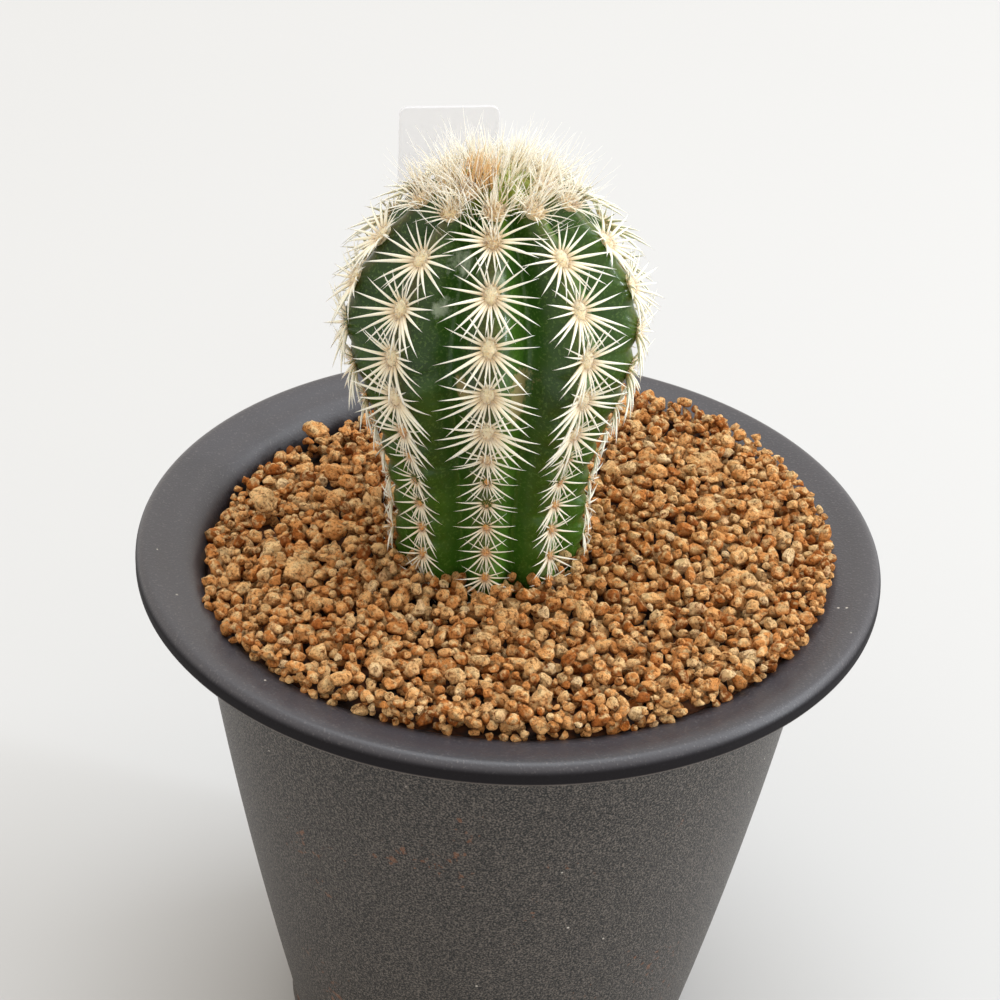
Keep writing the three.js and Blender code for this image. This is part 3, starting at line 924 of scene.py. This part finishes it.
def crown_spines(rng, point, outward):
    """Young spines that stand up from an areole at the crown."""
    up = STEM_PLACE.to_3x3() @ Vector((0, 0, 1))
    places = []
    for _ in range(CROWN_SPINES):
        direction = up * 0.7 + outward * 0.5 + stray(rng, 0.22)
        foot = point + Vector((rng.uniform(-0.7, 0.7), rng.uniform(-0.7, 0.7), 0.1))
        length = rng.uniform(2.8, 4.4)
        places.append((spine_kind(rng, 1), aimed(foot, direction, outward, length), rng.uniform(0, 0.92)))
    return places


def make_spines(rows):
    """The nine rows of areoles and spines, and the tuft at the growing point."""
    spines = [spine_shape(*shape) for shape in SPINE_SHAPES]
    hairs = [hair_shape(*shape) for shape in FELT_HAIR_SHAPES]
    ivory, felt = spine_finish(), felt_finish()
    for rib, heights in enumerate(rows):
        rng = random.Random(40 + rib)
        spine_places, pad_places = [], []
        for height in heights:
            spine_places += radial_spines(rng, rib, height)
            pad_places.append((0, pad_matrix(rib, height), pad_tint(rng, height)))
        name = f"rib_{rib + 1}"
        mesh = copies(f"{name}_spines", spines, spine_places)
        piece(f"{name}_spines", mesh, ivory, [f"spine_row_{rib + 1}"])
        piece(f"{name}_areoles", copies(f"{name}_areoles", [pad_shape()], pad_places), felt)
        fuzz = [hair for height in heights for hair in felt_hairs(rng, rib, height)]
        piece(f"{name}_felt", copies(f"{name}_felt", hairs, fuzz), felt)
    make_tuft(spines, ivory)


def pad_size(height):
    """Half the width, height and depth of the felt pad of an areole."""
    grown = grown_at(height)
    young = smoothstep(height, 45.5, 49)
    half_width = lerp(0.48, 0.92, grown) * (1 + 0.4 * young)
    half_height = lerp(0.66, 1.3, grown) * (1 + 0.1 * young)
    return half_width, half_height, lerp(0.45, 0.62, grown)


def pad_matrix(rib, height):
    """The place and size of an areole's felt pad."""
    point, outward, upward, sideways = rib_frame(rib, height)
    half_width, half_height, depth = pad_size(height)
    turn = Matrix((outward, sideways, upward)).transposed().to_4x4()
    size = Matrix.Diagonal((depth, half_width, half_height, 1))
    return Matrix.Translation(point + outward * 0.05) @ turn @ size


def felt_hairs(rng, rib, height):
    """Short hairs that stand all over an areole's pad."""
    point, outward, upward, sideways = rib_frame(rib, height)
    half_width, half_height, depth = pad_size(height)
    hairs = []
    for _ in range(round(lerp(26, 64, grown_at(height)))):
        angle, out = rng.uniform(0, math.tau), math.sqrt(rng.random())
        across = sideways * math.cos(angle) * half_width + upward * math.sin(angle) * half_height
        foot = point + across * out * 0.95 + outward * depth * math.sqrt(1.05 - out * out) * 0.8
        direction = outward + across * 0.6 * out + stray(rng, 0.3)
        length = rng.uniform(0.4, 0.85) * (1 + 0.6 * smoothstep(height, 44, 47))
        hairs.append((rng.randrange(2), aimed(foot, direction, upward, length), pad_tint(rng, height)))
    return hairs


def pad_tint(rng, height):
    """A felt's tint, from 0 on the oldest areoles to 1 on the fresh ones."""
    grown = lerp(0.12, 0.8, smoothstep(height, 15, 30))
    return min(1.0, lerp(grown, 0.7, smoothstep(height, 44, 48)) + rng.uniform(-0.2, 0.2))


def make_tuft(spines, ivory):
    """Upright orange-brown young spines at the growing point, with cream ones and fine hairs round them."""
    rng = random.Random(7)
    to_pot = STEM_PLACE.to_3x3()
    up = to_pot @ Vector((0, 0, 1))
    front, side = GROWING_POINT
    places = []
    for _ in range(GROWING_SPINES):
        angle, out = rng.uniform(0, math.tau), GROWING_RADIUS * math.sqrt(rng.random())
        x, y = front + out * math.cos(angle), side + out * math.sin(angle)
        foot = STEM_PLACE @ Vector((x, y, STEM_HEIGHT - 0.6))
        direction = up + Vector((rng.gauss(0, 0.09), rng.gauss(0, 0.09), 0))
        place = aimed(foot, direction, up.orthogonal(), rng.uniform(2.6, 4.4))
        places.append((spine_kind(rng, 1), place, rng.uniform(0.96, 1)))
    for _ in range(TUFT_SPINES):
        angle, out = rng.uniform(0, math.tau), TUFT_RADIUS * rng.random() ** 0.72
        flat = Vector((math.cos(angle), math.sin(angle), 0))
        foot = STEM_PLACE @ (flat * out + Vector((0, 0, STEM_HEIGHT - 0.035 * out * out - 0.5)))
        away = to_pot @ flat
        direction = up + away * 0.1 * out + Vector((rng.gauss(0, 0.16), rng.gauss(0, 0.16), 0))
        length = rng.uniform(3.8, 5.6) if rng.random() < 0.15 else rng.uniform(2.0, 3.6)
        places.append((spine_kind(rng, 1), aimed(foot, direction, away, length), rng.uniform(0, 0.9)))
    for _ in range(TUFT_HAIRS):
        angle, out = rng.uniform(0, math.tau), TUFT_HAIR_RADIUS * math.sqrt(rng.random())
        flat = Vector((math.cos(angle), math.sin(angle), 0))
        foot = STEM_PLACE @ (flat * out + Vector((0, 0, STEM_HEIGHT - 0.05 * out * out)))
        away = to_pot @ flat
        direction = Vector((rng.gauss(0, 0.3), rng.gauss(0, 0.3), 1)) + away * 0.07 * out
        places.append((len(spines), aimed(foot, direction, away, rng.uniform(4.0, 6.6)), 0.5))
    mesh = copies("crown_tuft", [*spines, hair_shape(*CROWN_HAIR_SHAPE)], places)
    piece("crown_tuft", mesh, ivory, ["crown_spine_tuft"])


# ---- Grit ----


def granule_shape(seed, subdivisions):
    """An angular granule about one unit in radius, with a few flat broken faces."""
    bm = bmesh.new()
    bmesh.ops.create_icosphere(bm, subdivisions=subdivisions, radius=1)
    shift = Vector((seed * 3.1, seed * 1.7, seed * 2.3))
    rng = random.Random(seed)
    breaks = [stray(rng, 1).normalized() for _ in range(9)]
    depths = [rng.uniform(0.5, 0.82) for _ in breaks]
    for vertex in bm.verts:
        for broken, depth in zip(breaks, depths):
            over = vertex.co.dot(broken) - depth
            if over > 0:
                vertex.co -= broken * over * 0.92
        lumps = 0.22 * noise.noise(vertex.co * 1.6 + shift) + 0.16 * noise.noise(vertex.co * 3.7 + shift)
        vertex.co *= 1.08 + lumps
    bmesh.ops.recalc_face_normals(bm, faces=bm.faces)
    return Shape(bm)


def bed_height(x, y):
    """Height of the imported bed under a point. It is mounded, and lies lower at the back left."""
    across = x * math.cos(GRIT_SINK_TOWARDS) + y * math.sin(GRIT_SINK_TOWARDS)
    out = min(math.hypot(x, y) / NECK_RADIUS, 1)
    sink = GRIT_SINK * smoothstep(across / NECK_RADIUS, 0.1, 1.0)
    return RIM_HEIGHT - GRIT_EDGE + GRIT_MOUND * (1 - out * out) - sink


class Heap:
    """Granules dropped one by one into a pot, each coming to rest in the lowest of a few places tried."""

    def __init__(self):
        self.cell = 2.6
        self.grid = {}
        self.grains = []

    def put(self, x, y, z, radius):
        grain = (x, y, z, radius)
        self.grains.append(grain)
        self.grid.setdefault((int(x // self.cell), int(y // self.cell)), []).append(grain)

    def rest_height(self, x, y, radius):
        """Height at which a granule comes to rest on the bed or on those already there."""
        height = bed_height(x, y) + 0.4 * radius
        column, row = int(x // self.cell), int(y // self.cell)
        for i in (column - 1, column, column + 1):
            for j in (row - 1, row, row + 1):
                for gx, gy, gz, gr in self.grid.get((i, j), ()):
                    reach = 0.9 * (radius + gr)
                    level = (x - gx) ** 2 + (y - gy) ** 2
                    if level < reach * reach:
                        height = max(height, gz + math.sqrt(reach * reach - level))
        return height


def in_the_way(x, y, radius, label):
    """Whether the stem or the label, given as its lowest and highest corner, stands there."""
    angle = math.atan2(y - STEM_Y, x - STEM_X) + math.pi / 2
    if math.hypot(x - STEM_X, y - STEM_Y) < stem_radius(angle, 0) + radius * 0.4:
        return True
    low, high = label
    beside, behind = radius * 0.5, radius * 0.3
    return low.x - beside < x < high.x + beside and low.y - behind < y < high.y + behind


def random_turn(rng):
    """A turn by any angle about any axis."""
    axis = stray(rng, 1)
    return Matrix.Rotation(rng.uniform(0, math.tau), 4, axis)


def grit_spot(rng):
    """A random place on the grit, more often near its border, with its distance from the middle."""
    angle = rng.uniform(0, math.tau)
    if rng.random() < GRIT_BORDER_SHARE:
        out = rng.uniform(GRIT_RADIUS - GRIT_BORDER, GRIT_RADIUS)
    else:
        out = GRIT_SPREAD * math.sqrt(rng.random())
    return out * math.cos(angle), out * math.sin(angle), out


def make_grit():
    """The loose fine granules, and the larger pale ones that lie on them."""
    rng = random.Random(3)
    heap = Heap()
    large = make_large_granules(heap)
    label = node_box("plant_label")
    for _ in range(GRIT_COUNT):
        radius = lerp(*GRIT_SIZES, rng.random() ** 1.5)
        best = None
        for _ in range(GRIT_TRIES):
            x, y, out = grit_spot(rng)
            if in_the_way(x, y, radius, label):
                continue
            height = heap.rest_height(x, y, radius)
            level = height - bed_height(x, y)
            fits = out + 0.8 * radius < min(pot_inside(height), GRIT_RADIUS) and level < GRIT_PILE
            if fits and (best is None or level < best[0]):
                best = (level, x, y, height)
        if best:
            heap.put(*best[1:], radius)
    shapes = [granule_shape(seed, 2) for seed in range(1, GRANULE_SHAPES + 1)]
    fine = heap.grains[large:]
    finish = grit_finish("fine_grit")
    for group in range(GRIT_GROUPS):
        places = []
        for x, y, z, radius in fine[group::GRIT_GROUPS]:
            length, width, depth = rng.uniform(0.85, 1.45), rng.uniform(0.8, 1.1), rng.uniform(0.75, 1.0)
            stretch = Matrix.Diagonal((length, width, depth, 1))
            matrix = Matrix.Translation((x, y, z)) @ random_turn(rng) @ stretch @ Matrix.Scale(radius, 4)
            places.append((rng.randrange(len(shapes)), matrix, min(max(rng.gauss(0.48, 0.27), 0), 1)))
        mesh = copies(f"fine_grit_{group + 1}", shapes, places)
        piece(f"fine_grit_{group + 1}", mesh, finish, smooth=False)


def make_bed():
    """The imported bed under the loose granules, which follows the pot's inside and the sunken side."""
    bottom = node_box("grit_bed")[0].z
    brim = RIM_HEIGHT - GRIT_EDGE
    wall = [(pot_inside(z) - 0.2, z) for z in spread(bottom, brim, 20)]
    surface = [(r, brim + GRIT_MOUND) for r in spread(wall[-1][0] - 1, 2, 24)]
    bm = turned([(0, bottom), *wall, *surface, (0, brim + GRIT_MOUND)], BED_SIDES)
    for vertex in bm.verts:
        vertex.co.z = min(vertex.co.z, bed_height(vertex.co.x, vertex.co.y) - 0.45)
    piece("packed_grit", mesh_of(bm, "packed_grit"), bed_finish(), ["grit_bed"])


def make_large_granules(heap):
    """The larger loose granules, each where its own solid lies. Returns how many there are."""
    names = sorted(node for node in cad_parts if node.startswith("surface_granule_"))
    finish = grit_finish("large_granule")
    for i, node in enumerate(names):
        low, high = node_box(node)
        centre, size = (low + high) / 2, (high - low) / 2
        rng = random.Random(100 + i)
        shape = granule_shape(20 + i, 4)
        matrix = Matrix.Translation(centre) @ Matrix.Diagonal((*size, 1)) @ random_turn(rng)
        mesh = copies(f"large_granule_{i + 1}", [shape], [(0, matrix, rng.uniform(0.35, 0.95))])
        piece(f"large_granule_{i + 1}", mesh, finish, [node])
        heap.put(*centre, sum(size) / 3)
    return len(names)


# ---- Label, and the pieces that stay as the frame has them ----


def make_label():
    """The flat label stake with softened edges."""
    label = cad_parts["plant_label"]
    bm = bmesh.new()
    bm.from_mesh(label.data)
    bmesh.ops.scale(bm, verts=bm.verts, vec=(1 / MM, 1 / MM, 1 / MM))
    bmesh.ops.remove_doubles(bm, verts=bm.verts, dist=0.01)
    bmesh.ops.dissolve_limit(bm, angle_limit=0.02, verts=bm.verts, edges=bm.edges)
    sharp = [edge for edge in bm.edges if edge.calc_face_angle(0) > 1.2]
    bmesh.ops.bevel(bm, geom=sharp, offset=0.1, segments=2, profile=0.5, affect="EDGES", material=-1)
    mesh = mesh_of(bm, "label_stake")
    piece("label_stake", mesh, label_finish(), ["plant_label"])


def dress_kept_stones():
    """A material for the drainage stones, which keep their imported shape."""
    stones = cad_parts["drainage_stones"]
    stones.data.materials.clear()
    stones.data.materials.append(stone_finish())


# ---- Surroundings ----

CAMERA_DISTANCE = 320.0
CAMERA_PITCH = math.radians(33.42)
CAMERA_ROLL = math.radians(2.88)
CAMERA_LENS = 95.04
CAMERA_SENSOR = 36.0
AIM_ACROSS = -1.39
AIM_UP = 4.36
FLOOR_REACH = 4000.0
COOL_LIGHT = (0.87, 0.94, 1.0)


def make_camera():
    """Looks down at the middle of the rim from the front, turned a little about its own line of sight."""
    ahead = Vector((0, math.cos(CAMERA_PITCH), -math.sin(CAMERA_PITCH)))
    above = Vector((0, math.sin(CAMERA_PITCH), math.cos(CAMERA_PITCH)))
    stand = Vector((0, 0, RIM_HEIGHT)) - ahead * CAMERA_DISTANCE
    across = Vector((1, 0, 0)) * (AIM_ACROSS / CAMERA_DISTANCE)
    gaze = (ahead + across + above * (AIM_UP / CAMERA_DISTANCE)).normalized()
    level = gaze.cross(Vector((0, 0, 1))).normalized()
    upright = level.cross(gaze)
    right = level * math.cos(CAMERA_ROLL) + upright * math.sin(CAMERA_ROLL)
    up = upright * math.cos(CAMERA_ROLL) - level * math.sin(CAMERA_ROLL)
    data = bpy.data.cameras.new("camera")
    data.lens = CAMERA_LENS
    data.sensor_width = CAMERA_SENSOR
    data.clip_start = 0.01
    camera = bpy.data.objects.new("camera", data)
    bpy.context.scene.collection.objects.link(camera)
    turn = Matrix((right, up, -gaze)).transposed().to_4x4()
    camera.matrix_world = Matrix.Translation(stand * MM) @ turn
    bpy.context.scene.camera = camera


def make_floor():
    """The flat tabletop."""
    bm = bmesh.new()
    bmesh.ops.create_grid(bm, x_segments=1, y_segments=1, size=FLOOR_REACH)
    mesh = mesh_of(bm, "floor")
    mesh.materials.append(floor_finish())
    floor = bpy.data.objects.new("floor", mesh)
    bpy.context.scene.collection.objects.link(floor)


def softbox(name, azimuth, elevation, distance, size, power):
    """A cool light panel that faces the plant from a direction in degrees."""
    data = bpy.data.lights.new(name, "AREA")
    data.shape = "RECTANGLE"
    data.size, data.size_y = (side * MM for side in size)
    data.energy = power
    data.color = COOL_LIGHT
    light = bpy.data.objects.new(name, data)
    bpy.context.scene.collection.objects.link(light)
    a, e = math.radians(azimuth), math.radians(elevation)
    away = Vector((math.sin(a) * math.cos(e), -math.cos(a) * math.cos(e), math.sin(e)))
    centre = Vector((0, 0, RIM_HEIGHT))
    turn = away.to_track_quat("Z", "Y").to_matrix().to_4x4()
    light.matrix_world = Matrix.Translation((centre + away * distance) * MM) @ turn


def make_light():
    """Two soft panels and a narrow strip, in a studio whose own light is a little warm."""
    softbox("key", 104, 42, 1600, (900, 900), 11.0)
    softbox("top", 180, 78, 1600, (900, 900), 11.0)
    softbox("strip", 82, 12, 900, (40, 420), 3.2)
    world = bpy.data.worlds.new("studio")
    world.use_nodes = True
    background = world.node_tree.nodes["Background"]
    background.inputs["Color"].default_value = rgb(251, 244, 233)
    background.inputs["Strength"].default_value = 1.03
    bpy.context.scene.world = world
    bpy.context.scene.view_settings.view_transform = "Standard"


make_camera()
make_floor()
make_light()
make_pot()
dress_kept_stones()
make_label()
rows = make_stem()
make_spines(rows)
make_bed()
make_grit()
